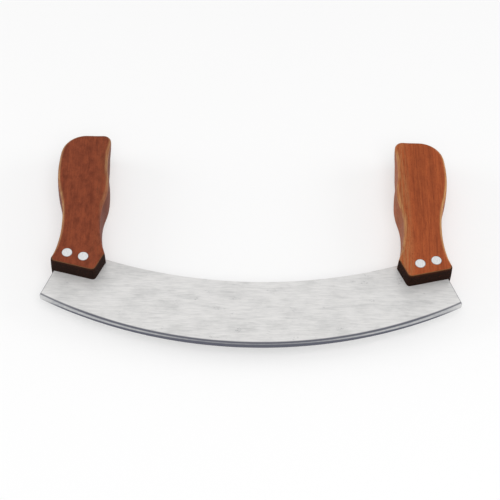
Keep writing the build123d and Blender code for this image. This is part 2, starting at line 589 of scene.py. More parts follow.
@dataclass(frozen=True)
class Steel:
    """Satin blade steel, brushed along the blade and ground along its cutting edge, with painted shade on
    the ground strip and in dark lines.

    A span says between which two distances from the middle of the blade something comes in.
    """

    name: str
    edge_radius: float
    edge_centre_y: float
    bevel_width: float
    tip: Point
    end_slant: float
    face: Colour = (0.755, 0.745, 0.735)
    scuffed: Colour = (0.50, 0.50, 0.495)
    # The ground strip's darker grey, which is painted shade over the ground steel
    ground: Colour = (0.38, 0.39, 0.41)
    # The dark colour of the specks, and of the painted shade lines
    line: Colour = (0.06, 0.063, 0.09)
    strip_softness: float = 0.12
    # Where the ground strip's painted shade gives way to the face colour towards the tips
    strip_fade: Span = (109.0, 120.0)
    # Where the painted shade lines along the shoulder and the edge widen and fade, and where the one along
    # the cut ends comes in
    shoulder_fade: Span = (116.0, 88.0)
    edge_wide: Span = (110.0, 60.0)
    edge_widest: Span = (70.0, 20.0)
    edge_fade: Span = (120.5, 104.0)
    cut_end: Span = (100.0, 108.0)
    metallic: float = 0.3
    relief: float = 0.006

    def make(self) -> bpy.types.Material:
        """Builds the material.

        Returns:
            The material, in which the ground strip with its painted shade and the painted shade lines follow
            the arc of the edge.
        """
        tree = Shading(self.name)
        x, y, _ = tree.parts(tree.place())
        out = abs(x)
        up = y - self.edge_centre_y
        in_from_edge = self.edge_radius - (x * x + up * up).root()
        soft = self.strip_softness
        strip = in_from_edge.rise(self.bevel_width + soft, self.bevel_width - soft)
        fine = tree.noise(Grain((0.14, 2.4, 1.0), -2.0, 3.0, 0.65))
        coarse = tree.noise(Grain((0.10, 0.62, 0.5), 4.0, 4.0, 0.65))
        # The ground strip is darkened as painted shade, and dark lines of painted shade go over it
        colour = tree.blend(strip, self.brushed(tree, fine, coarse), self.shaded_ground_strip(tree, out))
        colour = tree.blend(self.painted_shade_lines(out, y, in_from_edge), colour, self.line)
        return tree.surface(
            Base_Color=colour,
            Metallic=self.metallic,
            Roughness=0.42 + coarse * 0.12 + strip * 0.06,
            Normal=tree.bump(fine * 0.6 + coarse * 0.6, self.relief),
        )

    def brushed(self, tree: Shading, fine: Value, coarse: Value) -> Value:
        """The colour of the faces.

        Args:
            tree: The material's tree.
            fine: The noise of the fine brushing.
            coarse: The noise of the coarse brushing.

        Returns:
            The colour, with scuffs and a few dark specks.
        """
        mottle = tree.noise(Grain((0.06, 0.10, 0.1), 20.0, 5.0))
        broken = tree.noise(Grain((0.9, 2.4, 1.0), 12.0, 2.0)).rise(0.52, 0.62)
        specks = tree.noise(Grain((0.12, 0.22, 0.2), 0.0, 2.0, 0.5)).rise(0.63, 0.72) * broken
        worn = coarse.rise(0.38, 0.78) * 0.4 + fine.rise(0.35, 0.75) * 0.35 + mottle.rise(0.42, 0.68) * 0.35
        return tree.blend(specks * 0.35, tree.blend(worn, self.face, self.scuffed), self.line)

    def shaded_ground_strip(self, tree: Shading, out: Value) -> Value:
        """The colour of the strip along the edge: grinding marks darkened as painted shade, which gets
        lighter towards the tips.

        Args:
            tree: The steel's shader.
            out: The distance from the middle of the blade.

        Returns:
            The colour.
        """
        grinding = tree.noise(Grain((0.5, 1.2, 0.8)))
        colour = tree.blend(grinding.rise(0.3, 0.7), self.ground, self.scuffed)
        return tree.blend(out.rise(*self.strip_fade) * 0.5, colour, self.face)

    def painted_shade_lines(self, out: Value, y: Value, in_from_edge: Value) -> Value:
        """Painted shade lines along the shoulder of the strip, the edge itself and the cut ends.

        Args:
            out: The distance from the middle of the blade.
            y: Y, in millimetres.
            in_from_edge: The distance from the arc of the edge.

        Returns:
            How dark each point is, from 0 to 1.
        """
        # Painted shade: dark lines along the shoulder, the edge and the cut ends
        middle = out.rise(*self.shoulder_fade)
        shoulder = (abs(in_from_edge - self.bevel_width) / (0.75 + middle * 0.3)).rise(1.0, 0.3)
        reach = 0.8 + out.rise(*self.edge_wide) * 0.7 + out.rise(*self.edge_widest) * 0.9
        edge = (in_from_edge / reach).rise(1.0, 0.5) * out.rise(*self.edge_fade)
        lean = math.radians(self.end_slant)
        in_from_end = (self.tip[0] - out) * math.cos(lean) - (y - self.tip[1]) * math.sin(lean)
        cut_end = in_from_end.rise(0.6, 0.15) * out.rise(*self.cut_end) * 0.5
        return (shoulder * (0.75 + middle * 0.15)).most(edge * 0.92).most(cut_end)


@dataclass(frozen=True)
class RivetMetal:
    """Matte aluminium, sanded flush with the wood around it, with painted shade in a ring at each head's
    rim.
    """

    name: str
    face: Colour = (0.77, 0.775, 0.78)
    dull: Colour = (0.50, 0.51, 0.53)
    # The colour of the painted shade at the head's rim
    rim_shade: Colour = (0.20, 0.19, 0.19)
    metallic: float = 0.75
    relief: float = 0.006

    def make(self) -> bpy.types.Material:
        """Builds the material.

        Returns:
            The material, which reads the mesh's rim attribute for the painted shade at the head's rim.
        """
        tree = Shading(self.name)
        sanding = tree.noise(Grain((2.5, 0.4, 2.5), 25.0, 2.0))
        scratches = tree.noise(Grain((0.8, 3.0, 2.0), -30.0))
        worn = sanding.rise(0.35, 0.7) * 0.3 + scratches.rise(0.5, 0.75) * 0.3
        # Painted shade: a dark ring where the head's rim meets its seat
        rim_shaded = tree.attribute("rim").rise(0.86, 1.0) * 0.8
        return tree.surface(
            Base_Color=tree.blend(rim_shaded, tree.blend(worn, self.face, self.dull), self.rim_shade),
            Metallic=self.metallic,
            Roughness=0.5 + sanding * 0.15,
            Normal=tree.bump(sanding, self.relief),
        )


# Geometry Nodes


class Recipe(Tree):
    """A Geometry Nodes tree with named inputs for the sizes of one piece."""

    def __init__(self, name: str) -> None:
        """Makes an empty tree.

        Args:
            name: The tree's name.
        """
        super().__init__(bpy.data.node_groups.new(name, "GeometryNodeTree"))
        self.group_input = self.node_tree.nodes.new("NodeGroupInput")
        self.sizes: dict[str, float] = {}
        self.node_tree.interface.new_socket("Geometry", in_out="OUTPUT", socket_type="NodeSocketGeometry")

    def size(self, name: str, value: float) -> Value:
        """Declares a named size.

        Args:
            name: The input's name.
            value: What the piece sets it to, in metres, radians or as a count.

        Returns:
            The input's value inside the tree.
        """
        kind = "NodeSocketInt" if isinstance(value, int) else "NodeSocketFloat"
        socket = self.node_tree.interface.new_socket(name, in_out="INPUT", socket_type=kind)
        self.sizes[socket.identifier] = value
        return Value(self, find_socket(self.group_input.outputs, socket.identifier))

    def moved(
        self,
        geometry: Value,
        by: Union[Value, Sequence] = (0, 0, 0),
        turn: Union[Value, Sequence] = (0, 0, 0),
        scale: Sequence = (1, 1, 1),
    ) -> Value:
        """Moves, turns or mirrors geometry.

        Args:
            geometry: The geometry.
            by: How far it is moved.
            turn: The turn about each axis, in radians.
            scale: The scale along each axis, with -1 for a mirror image.

        Returns:
            The new geometry.
        """
        return self.add(
            "GeometryNodeTransform",
            inputs={"Geometry": geometry, "Translation": by, "Rotation": turn, "Scale": scale},
        )

    def joined(self, *parts: Value) -> Value:
        """Several geometries as one."""
        return self.add("GeometryNodeJoinGeometry", inputs={"Geometry": list(reversed(parts))})

    def merged(self, geometry: Value) -> Value:
        """Geometry without doubled points."""
        inputs = {"Geometry": geometry, "Distance": MERGE_DISTANCE}
        return self.add("GeometryNodeMergeByDistance", inputs=inputs)

    def both_sides(self, geometry: Value) -> Value:
        """Geometry and its mirror image about X = 0."""
        return self.joined(geometry, self.moved(geometry, scale=(-1, 1, 1)))

    def crisp(self, geometry: Value, angle: float) -> Value:
        """Shades geometry smooth, but keeps the edges that turn by more than an angle sharp.

        Args:
            geometry: The mesh.
            angle: The angle, in degrees.

        Returns:
            The mesh.
        """
        turn = self.add("GeometryNodeInputMeshEdgeAngle", output="Unsigned Angle")
        smooth = self.add("GeometryNodeSetShadeSmooth", {"domain": "FACE"}, {"Geometry": geometry})
        return self.add(
            "GeometryNodeSetShadeSmooth",
            {"domain": "EDGE"},
            {"Geometry": smooth, "Selection": turn > math.radians(angle), "Shade Smooth": False},
        )

    def rivet_points(self, spots: "RivetSpots") -> Value:
        """Points at the four rivets, on the plane Z = 0.

        Args:
            spots: Where the rivets are.

        Returns:
            The points.
        """
        pitch = self.size("Rivet Pitch", spots.pitch * MM)
        middle_x = self.size("Rivet Middle X", spots.middle[0] * MM)
        middle_y = self.size("Rivet Middle Y", spots.middle[1] * MM)
        slope = self.size("Rivet Slope", math.radians(spots.slope))
        start = self.vector(pitch * -0.5, 0.0)
        step = self.vector(pitch, 0.0)
        pair = self.add(
            "GeometryNodeMeshLine",
            {"mode": "OFFSET", "count_mode": "TOTAL"},
            {"Count": 2, "Start Location": start, "Offset": step},
        )
        pair = self.moved(pair, self.vector(middle_x, middle_y), self.vector(0.0, 0.0, slope))
        return self.both_sides(pair)

    def stand_on(self, points: Value, piece: Value) -> Value:
        """A copy of a piece on each point, as plain geometry."""
        copies = self.add("GeometryNodeInstanceOnPoints", inputs={"Points": points, "Instance": piece})
        return self.add("GeometryNodeRealizeInstances", inputs={"Geometry": copies})

    def bake(self, name: str, geometry: Value, material: bpy.types.Material) -> bpy.types.Object:
        """Runs the tree once and keeps its result as a plain mesh.

        Args:
            name: The piece's name.
            geometry: What the tree ends in.
            material: The piece's material.

        Returns:
            The piece.
        """
        plain = self.add("GeometryNodeRealizeInstances", inputs={"Geometry": geometry})
        dressed = self.add("GeometryNodeSetMaterial", inputs={"Geometry": plain, "Material": material})
        end = self.node_tree.nodes.new("NodeGroupOutput")
        self.node_tree.links.new(dressed.socket, end.inputs[0])
        piece = add_object(name, bpy.data.meshes.new(name))
        modifier = piece.modifiers.new("recipe", "NODES")
        modifier.node_group = self.node_tree
        for identifier, value in self.sizes.items():
            modifier[identifier] = value
        return baked(piece)


def add_object(name: str, mesh: bpy.types.Mesh) -> bpy.types.Object:
    """Puts a mesh in the scene.

    Args:
        name: The object's name.
        mesh: Its mesh.

    Returns:
        The object.
    """
    piece = bpy.data.objects.new(name, mesh)
    bpy.context.scene.collection.objects.link(piece)
    return piece


def baked(piece: bpy.types.Object) -> bpy.types.Object:
    """Applies an object's modifiers to its mesh.

    Args:
        piece: The object.

    Returns:
        The same object, with a plain mesh and no modifiers.
    """
    graph = bpy.context.evaluated_depsgraph_get()
    graph.update()
    mesh = bpy.data.meshes.new_from_object(
        piece.evaluated_get(graph), preserve_all_data_layers=True, depsgraph=graph
    )
    piece.modifiers.clear()
    piece.data = mesh
    mesh.name = piece.name
    return piece


# Places and sizes that the sub-assemblies share


@dataclass(frozen=True)
class RivetSpots:
    """Where a handle's two rivets stand, side by side along its foot."""

    middle: Point
    slope: float
    pitch: float = 9.6

    def spot(self, side: float, place: float) -> Point:
        """One rivet's place.

        Args:
            side: -1 for the left-hand handle and 1 for the right-hand one.
            place: -1 for the inner rivet and 1 for the outer one.

        Returns:
            Its X and Y.
        """
        along = place * self.pitch / 2
        slope = math.radians(self.slope)
        return (side * (self.middle[0] + along * math.cos(slope)), self.middle[1] + along * math.sin(slope))


@dataclass(frozen=True)
class Layout:
    """The places and sizes at which the blade, the handles and the rivets meet."""

    edge_y: float = -71.2875
    foot_rise: float = 45.775
    handle_x: float = 102.0
    handle_thickness: float = 23.0
    foot_slope: float = 14.4
    rivet_setback: float = 7.1
    sheet_thickness: float = 1.5
    tang_x: float = 99.2
    tang_width: float = 18.0
    tang_rise: float = 30.0
    head_radius: float = 3.0
    head_thickness: float = 1.4
    tube_radius: float = 2.0
    glue_line: float = 0.15
    slot_play: float = 0.3
    seat_play: float = 0.04
    hole_play: float = 0.1

    @property
    def foot_y(self) -> float:
        """Y of the middle of a handle's foot."""
        return self.edge_y + self.foot_rise

    @property
    def middle_z(self) -> float:
        """Z of the blade's middle plane."""
        return self.handle_thickness / 2

    @property
    def hole_radius(self) -> float:
        """The radius of the holes for the rivets' tubes, in wood and steel."""
        return self.tube_radius + self.hole_play

    @property
    def rivets(self) -> RivetSpots:
        """The rivets' places."""
        return RivetSpots(self.foot_spot(0, self.rivet_setback), self.foot_slope)

    def foot_spot(self, along: float, inwards: float) -> Point:
        """A point of the right-hand handle, along its sloping foot and square to it.

        Args:
            along: How far outwards along the foot.
            inwards: How far into the handle.

        Returns:
            Its X and Y.
        """
        slope = math.radians(self.foot_slope)
        return (
            self.handle_x + along * math.cos(slope) - inwards * math.sin(slope),
            self.foot_y + along * math.sin(slope) + inwards * math.cos(slope),
        )


# Blade


@dataclass
class Blade:
    """The crescent blade with its two tangs, ground on both faces along the cutting edge."""

    layout: Layout
    length: float = 240.0
    width: float = 43.6
    edge_radius: float = 253.5
    back_radius: float = 265.5
    bevel_width: float = 2.6
    edge_land: float = 0.3
    end_slant: float = 21.5
    tip_rounding: float = 2.8
    tang_top_rounding: float = 2.0
    tang_root_rounding: float = 2.5
    arc_steps: int = 96
    wheel_steps: int = 640
    hole_steps: int = 40
    corner_steps: int = 7
    crisp_angle: float = 6.0

    def build(self) -> bpy.types.Object:
        """Makes the blade with Geometry Nodes.

        Returns:
            The blade.
        """
        half = self.length / 2
        tip_y = self.layout.edge_y + self.edge_radius - math.sqrt(self.edge_radius**2 - half**2)
        steel = Steel(
            "blade_steel",
            edge_radius=self.edge_radius,
            edge_centre_y=self.layout.edge_y + self.edge_radius,
            bevel_width=self.bevel_width,
            tip=(half, tip_y),
            end_slant=self.end_slant,
        )
        recipe = Recipe("crescent_blade")
        thickness = recipe.size("Thickness", self.layout.sheet_thickness * MM)
        sheet = self.sheet(recipe, thickness)
        cones = self.grinding_cones(recipe, thickness)
        ground = recipe.add(
            "GeometryNodeMeshBoolean",
            {"operation": "INTERSECT", "solver": "EXACT"},
            {"Mesh 2": [sheet, *cones]},
            "Mesh",
        )
        hole = recipe.add(
            "GeometryNodeMeshCylinder",
            inputs={
                "Vertices": self.hole_steps,
                "Radius": recipe.size("Rivet Hole Radius", self.layout.hole_radius * MM),
                "Depth": thickness * 3.0,
            },
            output="Mesh",
        )
        holes = recipe.stand_on(recipe.rivet_points(self.layout.rivets), hole)
        drilled = recipe.add(
            "GeometryNodeMeshBoolean",
            {"operation": "DIFFERENCE", "solver": "EXACT"},
            {"Mesh 1": ground, "Mesh 2": [holes]},
            "Mesh",
        )
        lifted = recipe.moved(drilled, (0, 0, self.layout.middle_z * MM))
        piece = recipe.bake("crescent_blade", recipe.crisp(lifted, self.crisp_angle), steel.make())
        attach(piece, "root")
        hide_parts("blade")
        return piece

    def sheet(self, recipe: Recipe, thickness: Value) -> Value:
        """The blank that is cut from the sheet, before grinding.

        Args:
            recipe: The blade's tree.
            thickness: The sheet's thickness.

        Returns:
            A closed solid about the plane Z = 0.
        """
        half = recipe.size("Length", self.length * MM) * 0.5
        width = recipe.size("Width", self.width * MM)
        edge_radius = recipe.size("Edge Radius", self.edge_radius * MM)
        back_radius = recipe.size("Back Radius", self.back_radius * MM)
        slant = recipe.size("End Slant", math.radians(self.end_slant))
        tang_x = recipe.size("Tang Middle", self.layout.tang_x * MM)
        tang_width = recipe.size("Tang Width", self.layout.tang_width * MM)
        tang_top = recipe.size("Tang Top", (self.layout.foot_y + self.layout.tang_rise) * MM)
        edge_y = recipe.size("Edge Y", self.layout.edge_y * MM)
        steps = recipe.size("Arc Steps", self.arc_steps)
        tip_y = edge_y + edge_radius - (edge_radius * edge_radius - half * half).root()
        inner = tang_x - tang_width * 0.5
        outer = tang_x + tang_width * 0.5
        hip_y = tip_y + (half - outer) / recipe.math("TANGENT", slant)
        back_y = edge_y + width
        root_y = back_y + back_radius - (back_radius * back_radius - inner * inner).root()

        edge = self.arc(recipe, edge_radius, half, edge_y + edge_radius, steps)
        back = self.arc(recipe, back_radius, inner, back_y + back_radius, steps)
        corners = [(half, tip_y), (outer, hip_y), (outer, tang_top), (inner, tang_top), (inner, root_y)]
        sides = [
            recipe.add(
                "GeometryNodeCurvePrimitiveLine",
                {"mode": "POINTS"},
                {"Start": recipe.vector(*start), "End": recipe.vector(*end)},
            )
            for start, end in zip(corners, corners[1:])
        ]
        outline = recipe.joined(edge, back, recipe.both_sides(recipe.joined(*sides)))
        wire = recipe.add("GeometryNodeCurveToMesh", inputs={"Curve": outline})
        loop = recipe.add("GeometryNodeMeshToCurve", inputs={"Mesh": recipe.merged(wire)})
        top_rounding = self.tang_top_rounding
        roundings = (self.tip_rounding, 0.0, top_rounding, top_rounding, self.tang_root_rounding)
        rounding = self.rounding_at(recipe, corners, roundings)
        loop = recipe.add(
            "GeometryNodeFilletCurve",
            {"mode": "POLY"},
            {"Curve": loop, "Radius": rounding, "Count": self.corner_steps},
        )
        flat = recipe.add("GeometryNodeFillCurve", {"mode": "NGONS"}, {"Curve": loop})
        top = recipe.add(
            "GeometryNodeExtrudeMesh",
            {"mode": "FACES"},
            {"Mesh": flat, "Offset": (0, 0, 1), "Offset Scale": thickness, "Individual": False},
        )
        bottom = recipe.add("GeometryNodeFlipFaces", inputs={"Mesh": flat})
        solid = recipe.merged(recipe.joined(top, bottom))
        return recipe.moved(solid, recipe.vector(0.0, 0.0, thickness * -0.5))

    def arc(self, recipe: Recipe, radius: Value, reach: Value, centre_y: Value, steps: Value) -> Value:
        """An arc that hangs below its centre, from -reach to reach along X.

        Args:
            recipe: The blade's tree.
            radius: The arc's radius.
            reach: How far it goes to each side.
            centre_y: Y of its centre.
            steps: Its number of steps.

        Returns:
            The arc, as a curve.
        """
        swing = recipe.math("ARCSINE", reach / radius)
        curve = recipe.add(
            "GeometryNodeCurveArc",
            {"mode": "RADIUS"},
            {
                "Resolution": steps + 1.0,
                "Radius": radius,
                "Start Angle": -math.pi / 2 - swing,
                "Sweep Angle": swing * 2.0,
            },
            "Curve",
        )
        return recipe.moved(curve, recipe.vector(0.0, centre_y))

    def rounding_at(self, recipe: Recipe, corners: Sequence, roundings: Sequence[float]) -> Value:
        """The rounding of each corner of the outline, and 0 at every other point.

        Args:
            recipe: The blade's tree.
            corners: The corners, on the right-hand side.
            roundings: Their radii.

        Returns:
            The radius, which varies from point to point.
        """
        x, y, _ = recipe.parts(recipe.add("GeometryNodeInputPosition"))
        total: Number = 0.0
        for (corner_x, corner_y), rounding in zip(corners, roundings):
            if rounding:
                away = abs(abs(x) - corner_x) + abs(y - corner_y)
                total = (away < CORNER_DISTANCE) * (rounding * MM) + total
        return total

    def grinding_cones(self, recipe: Recipe, thickness: Value) -> list[Value]:
        """Two wide cones, one for each face, outside which the grinding takes steel away.

        Args:
            recipe: The blade's tree.
            thickness: The sheet's thickness.

        Returns:
            The cones.
        """
        bevel = recipe.size("Bevel Width", self.bevel_width * MM)
        land = recipe.size("Edge Land", self.edge_land * MM)
        radius = recipe.size("Grinding Radius", self.edge_radius * MM)
        centre_y = recipe.size("Grinding Centre Y", (self.layout.edge_y + self.edge_radius) * MM)
        wheel = recipe.size("Grinding Steps", self.wheel_steps)
        fall = (thickness - land) * 0.5 / bevel
        at_middle = radius + land * 0.5 / fall
        cone = recipe.add(
            "GeometryNodeMeshCone",
            {"fill_type": "NGON"},
            {
                "Vertices": wheel,
                "Radius Top": at_middle - thickness / fall,
                "Radius Bottom": at_middle + thickness / fall,
                "Depth": thickness * 2.0,
            },
            "Mesh",
        )
        front = recipe.moved(cone, recipe.vector(0.0, centre_y, -thickness))
        return [front, recipe.moved(front, turn=(0, math.pi, 0))]


# Handles


class Side(Enum):
    """Which end of the blade a handle stands on, seen from the front."""

    LEFT = -1
    RIGHT = 1


def along(line: np.ndarray, places: np.ndarray) -> np.ndarray:
    """Points of a polyline.

    Args:
        line: The polyline's points.
        places: Where the wanted points are, counted in points from its start.

    Returns:
        The points.
    """
    steps = np.arange(len(line))
    return np.stack([np.interp(places, steps, line[:, axis]) for axis in (0, 1)], axis=1)


def headings(line: np.ndarray) -> np.ndarray:
    """The unit direction of a polyline at each of its points."""
    run = np.gradient(line, axis=0)
    return run / np.linalg.norm(run, axis=1, keepdims=True)


def shifted(line: np.ndarray, distance: float) -> np.ndarray:
    """A polyline moved to its right by a distance."""
    run = headings(line)
    return line + distance * np.stack([run[:, 1], -run[:, 0]], axis=1)


def crossing(first: np.ndarray, second: np.ndarray) -> tuple[float, float]:
    """Where two polylines cross.

    Args:
        first: One polyline.
        second: The other.

    Returns:
        The place on each, counted in points from its start.
    """
    start, run = first[:-1, None], np.diff(first, axis=0)[:, None]
    other, other_run = second[None, :-1], np.diff(second, axis=0)[None]
    gap = other - start
    turn = run[..., 0] * other_run[..., 1] - run[..., 1] * other_run[..., 0]
    turn = np.where(np.abs(turn) < PARALLEL, PARALLEL, turn)
    on_first = (gap[..., 0] * other_run[..., 1] - gap[..., 1] * other_run[..., 0]) / turn
    on_second = (gap[..., 0] * run[..., 1] - gap[..., 1] * run[..., 0]) / turn
    outside = np.maximum(np.abs(on_first - 0.5), np.abs(on_second - 0.5))
    row, column = np.unravel_index(np.argmin(outside), outside.shape)
    return row + on_first[row, column], column + on_second[row, column]


def tangent_arc(start: Point, end: Point, heading: Point, steps: int = 60) -> np.ndarray:
    """The arc that leaves a point in a given direction and reaches another.

    Args:
        start: Where it starts.
        end: Where it ends.
        heading: The direction in which it leaves.
        steps: Its number of steps.

    Returns:
        Its points.
    """
    start, chord = np.array(start), np.subtract(end, start)
    ahead = np.array(heading) / np.hypot(*heading)
    left = np.array([-ahead[1], ahead[0]])
    turn = 2 * math.atan2(chord @ left, chord @ ahead)
    fractions = np.linspace(0, 1, steps + 1)[:, None]
    if abs(turn) < STRAIGHT:
        return start + chord * fractions
    radius = (chord @ chord) / (2 * (chord @ left))
    angles = fractions * turn
    return start + radius * (ahead * np.sin(angles) + left * (1 - np.cos(angles)))


def swing(low: Point, high: Point, steps: int = 30) -> np.ndarray:
    """Two arcs that leave one point straight up, cross over halfway and reach the next straight up.

    Args:
        low: The lower point.
        high: The upper point.
        steps: The number of steps of each arc.

    Returns:
        Their points.
    """
    middle = tuple(np.add(low, high) / 2)
    first = tangent_arc(low, middle, (0, 1), steps)
    second = tangent_arc(middle, high, tuple(headings(first)[-1]), steps)
    return np.concatenate([first, second[1:]])


def rounded(
    first: np.ndarray, second: np.ndarray, radius: float, steps: int = 10
) -> tuple[float, float, np.ndarray]:
    """Rounds the corner between two polylines that turn to the right.

    Args:
        first: The polyline that comes to the corner.
        second: The polyline that leaves it.
        radius: The rounding's radius.
        steps: Its number of steps.

    Returns:
        Where the rounding leaves the first polyline, where it meets the second, and the points between.
    """
    leaves, meets = crossing(shifted(first, radius), shifted(second, radius))
    centre = along(shifted(first, radius), np.array([leaves]))[0]
    start = along(first, np.array([leaves]))[0] - centre
    end = along(second, np.array([meets]))[0] - centre
    low = math.atan2(start[1], start[0])
    turn = (math.atan2(end[1], end[0]) - low + math.pi) % (2 * math.pi) - math.pi
    angles = low + turn * np.linspace(0, 1, steps + 1)[1:-1]
    return leaves, meets, centre + radius * np.stack([np.cos(angles), np.sin(angles)], axis=1)


def evenly(line: np.ndarray, step: float) -> np.ndarray:
    """A polyline with its points at equal distances.

    Args:
        line: The polyline.
        step: The distance.

    Returns:
        The new polyline.
    """
    lengths = np.concatenate([[0.0], np.cumsum(np.linalg.norm(np.diff(line, axis=0), axis=1))])
    count = max(2, round(lengths[-1] / step) + 1)
    return along(line, np.interp(np.linspace(0, lengths[-1], count), lengths, np.arange(len(line))))


@dataclass
class Handle:
    """An upright wooden handle with crowned sides, whose sloping foot is slotted for the blade.

    Widths are measured outwards or inwards from the handle's middle line, a rise up from the middle of the
    foot, and a drop down from the top.
    """

    layout: Layout
    side: Side
    wood: Wood
    foot_width: float = 26.7
    cut_length: float = 13.6
    cut_slant: float = 24.0
    height: float = 96.3
    outer_waist: float = 8.2
    outer_waist_rise: float = 31.5
    outer_waist_length: float = 2.5
    outer_bulge: float = 13.6
    outer_bulge_drop: float = 25.8
    outer_shoulder: float = 10.4
    inner_waist: float = 14.5
    inner_waist_rise: float = 35.8
    inner_bulge: float = 17.5
    inner_bulge_drop: float = 38.3
    inner_throat: float = 16.0
    inner_throat_drop: float = 20.8
    inner_shoulder: float = 15.9
    top_crown: float = 0.8
    outer_shoulder_rounding: float = 15.3
    inner_shoulder_rounding: float = 4.6
    outer_foot_rounding: float = 2.2
    inner_foot_rounding: float = 2.4
    cut_top_rounding: float = 0.8
    side_arris: float = 2.8
    foot_arris: float = 0.6
    face_margin: float = 0.35
    crown: float = 0.8
    swell: float = 0.1
    top_end_grain: float = 0.6
    overrun: float = 12.0
    fade: float = 9.0
    fade_floor: float = 0.5
    corner_lean: float = 1.5
    corner_drop: float = 3.0
    corner_reach: float = 6.5
    contour_step: float = 0.5
    ring_step: float = 0.4
    end_points: int = 120
    side_points: int = 190
    foot_points: int = 30
    cut_points: int = 16
    seat_points: int = 64
    side_levels: int = 8
    arris_degrees: tuple[float, ...] = (56, 61, 66, 71, 76, 81, 85.5, 90)
    arris_start_levels: int = 5
    arris_start_degrees: float = 51.0
    shoulder_steps: int = 24
    foot_steps: int = 8
    cut_steps: int = 4
    settling_rounds: int = 30
    run_start: float = 0.5
    run_points: int = 24
    top_points: int = 61
    line_points: int = 81
    line_reach: float = 45.0
    slot_overrun: float = 20.0
    seat_overrun: float = 1.0
    sharp_angle: float = 32.0

    @property
    def name(self) -> str:
        """The handle's name."""
        return f"{self.side.name.lower()}_handle"

    def build(self) -> bpy.types.Object:
        """Makes the handle.

        Returns:
            The handle.
        """
        piece = add_object(f"{self.name}_wood", self.shape())
        for name, cutter in (("slot", self.slot_cutter()), ("seats", self.seat_cutter())):
            tool = add_object(f"{name}_cutter", cutter)
            cut = piece.modifiers.new(name, "BOOLEAN")
            cut.operation, cut.solver, cut.object = "DIFFERENCE", "EXACT", tool
            baked(piece)
            bpy.data.objects.remove(tool)
        piece.data.set_sharp_from_angle(angle=math.radians(self.sharp_angle))
        wood = self.wood.make(self.layout.handle_x, self.layout.middle_z, self.side_arris)
        piece.data.materials.clear()
        piece.data.materials.append(wood)
        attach(piece, "root")
        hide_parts(self.name)
        f"{self.name}_wood"
        return piece

    def spot(self, out: float, up: float) -> Point:
        """A point of the right-hand handle, outwards and up from the middle of its foot."""
        return (self.layout.handle_x + out, self.layout.foot_y + up)

    def contour(self) -> np.ndarray:
        """The handle's sides and top in the middle plane.

        Returns:
            The points of the line, from below the slanting cut up the inner side and down to below the foot.
        """
        foot_inner = self.layout.foot_spot(-self.foot_width / 2, 0)
        foot_outer = self.layout.foot_spot(self.foot_width / 2, 0)
        slant = math.radians(self.cut_slant)
        cut_top = (
            foot_inner[0] - self.cut_length * math.sin(slant),
            foot_inner[1] + self.cut_length * math.cos(slant),
        )
        outer_narrow = self.spot(self.outer_waist, self.outer_waist_rise)
        outer_low = self.spot(self.outer_waist, self.outer_waist_rise - self.outer_waist_length)
        outer_wide = self.spot(self.outer_bulge, self.height - self.outer_bulge_drop)
        outer_top = self.spot(self.outer_shoulder, self.height - self.top_crown)
        inner_narrow = self.spot(-self.inner_waist, self.inner_waist_rise)
        inner_wide = self.spot(-self.inner_bulge, self.height - self.inner_bulge_drop)
        inner_slim = self.spot(-self.inner_throat, self.height - self.inner_throat_drop)
        inner_top = self.spot(-self.inner_shoulder, self.height - self.top_crown)
        flare = self.run_on(tangent_arc(inner_narrow, cut_top, (0, -1)))[::-1]
        climb = [inner_narrow, inner_wide, inner_slim, inner_top]
        inner = np.concatenate([flare, *(swing(low, high)[1:] for low, high in zip(climb, climb[1:]))])
        outer = np.concatenate(
            [
                tangent_arc(outer_wide, outer_top, (0, 1))[::-1],
                swing(outer_narrow, outer_wide)[::-1][1:],
                self.run_on(tangent_arc(outer_low, foot_outer, (0, -1))),
            ]
        )
        half = (outer_top[0] - inner_top[0]) / 2
        spread = np.linspace(-1, 1, self.top_points)
        top = np.stack(
            [inner_top[0] + half * (1 + spread), inner_top[1] + self.top_crown * (1 - spread**2)], axis=1
        )
        inner, top, outer = (evenly(line, self.contour_step) for line in (inner, top, outer))
        leave_inner, meet_top, inner_arc = rounded(inner, top, self.inner_shoulder_rounding)
        leave_top, meet_outer, outer_arc = rounded(
            top, outer, self.outer_shoulder_rounding, self.shoulder_steps
        )
        line = np.concatenate(
            [
                inner[: int(leave_inner) + 1],
                along(inner, np.array([leave_inner])),
                inner_arc,
                along(top, np.arange(meet_top, leave_top, 1.0)),
                along(top, np.array([leave_top])),
                outer_arc,
                along(outer, np.array([meet_outer])),
                outer[int(meet_outer) + 1 :],
            ]
        )
        return shifted(evenly(line, self.ring_step), -self.swell)

    def run_on(self, line: np.ndarray) -> np.ndarray:
        """A polyline with a straight run added to its end."""
        reach = np.linspace(self.run_start, self.overrun, self.run_points)[:, None]
        return np.concatenate([line, line[-1] + headings(line)[-1] * reach])

    def levels(self) -> list[tuple[float, float, float]]:
        """The handle's section, from its middle plane to its front face.

        Returns:
            For each level its height, its inset at the sides and its inset at the foot.
        """
        half = self.layout.middle_z
        turn = 0.0
        # The rounding starts at the slope that the crown has there, and each round comes closer to it
        for _ in range(self.settling_rounds):
            join = half - self.side_arris + self.side_arris * math.sin(turn)
            turn = math.atan(2 * self.crown * join / half**2)
        join_inset = self.crown * (join / half) ** 2
        base = join_inset - self.side_arris * (1 - math.cos(turn))
        levels = []
        for height in np.linspace(0, join, self.side_levels)[:-1]:
            levels.append((height, self.crown * (height / half) ** 2, 0.0))
        start = np.linspace(turn, math.radians(self.arris_start_degrees), self.arris_start_levels)
        angles = np.concatenate([start, np.radians(self.arris_degrees)])
        for angle in angles:
            height = half - self.side_arris * (1 - math.sin(angle))
            inset = base + self.side_arris * (1 - math.cos(angle))
            over = max(0.0, height - (half - self.foot_arris))
            foot = self.foot_arris - math.sqrt(max(0.0, self.foot_arris**2 - over**2))
            levels.append((height, inset, foot))
        levels.append((half, levels[-1][1] + self.face_margin, levels[-1][2] + self.face_margin))
        return levels

